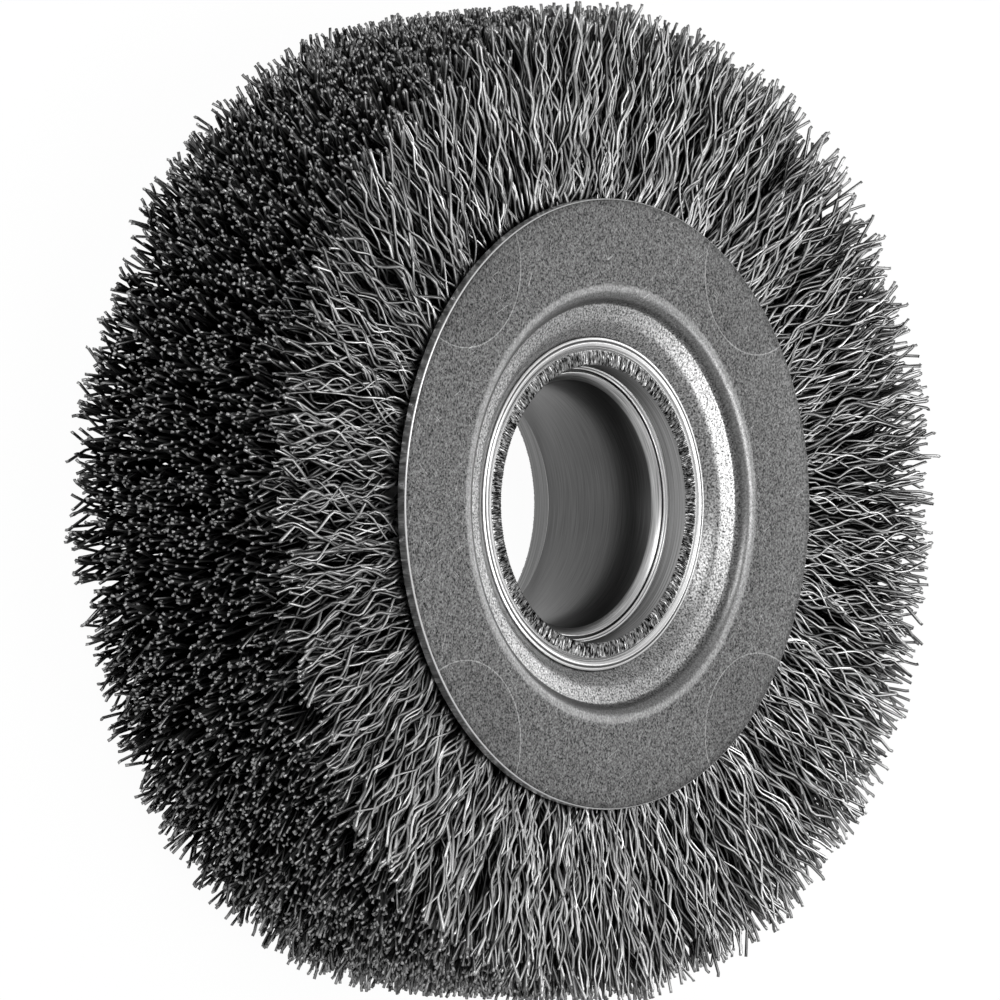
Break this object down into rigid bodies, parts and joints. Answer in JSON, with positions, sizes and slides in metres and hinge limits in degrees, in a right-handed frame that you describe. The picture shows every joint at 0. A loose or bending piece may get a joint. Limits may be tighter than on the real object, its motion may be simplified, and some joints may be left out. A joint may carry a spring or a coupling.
{
  "type": "crimped wire wheel brush",
  "caption": "Wheel brush of crimped steel wire held between two pressed side plates on a bored hub, for a bench grinder spindle.",
  "frame": {"origin": "centre of the bore, midway between the two faces; the wheel lies on its rear face's wire tips", "axes": "+Z along the wheel's axis, out of the front face; X and Y are radial"},
  "size_m": [0.1016, 0.1015, 0.0296],
  "materials": {
    "plate": "satin pressed sheet steel, fine grain, light scratches",
    "sleeve": "turned steel, swaged ends polished, sheared ring serrated",
    "bush": "turned steel with fine lathe marks",
    "ring": "plain steel",
    "wire": "bright drawn steel wire, crimped"
  },
  "bodies": {
    "root": {"front_plate": "plate", "rear_plate": "plate", "arbor_sleeve": "sleeve", "arbor_bush": "bush", "retaining_ring": "ring", "front_face_wires": "wire", "front_inner_wires": "wire", "middle_wires": "wire", "rear_inner_wires": "wire", "rear_face_wires": "wire"}
  },
  "joints": []
}
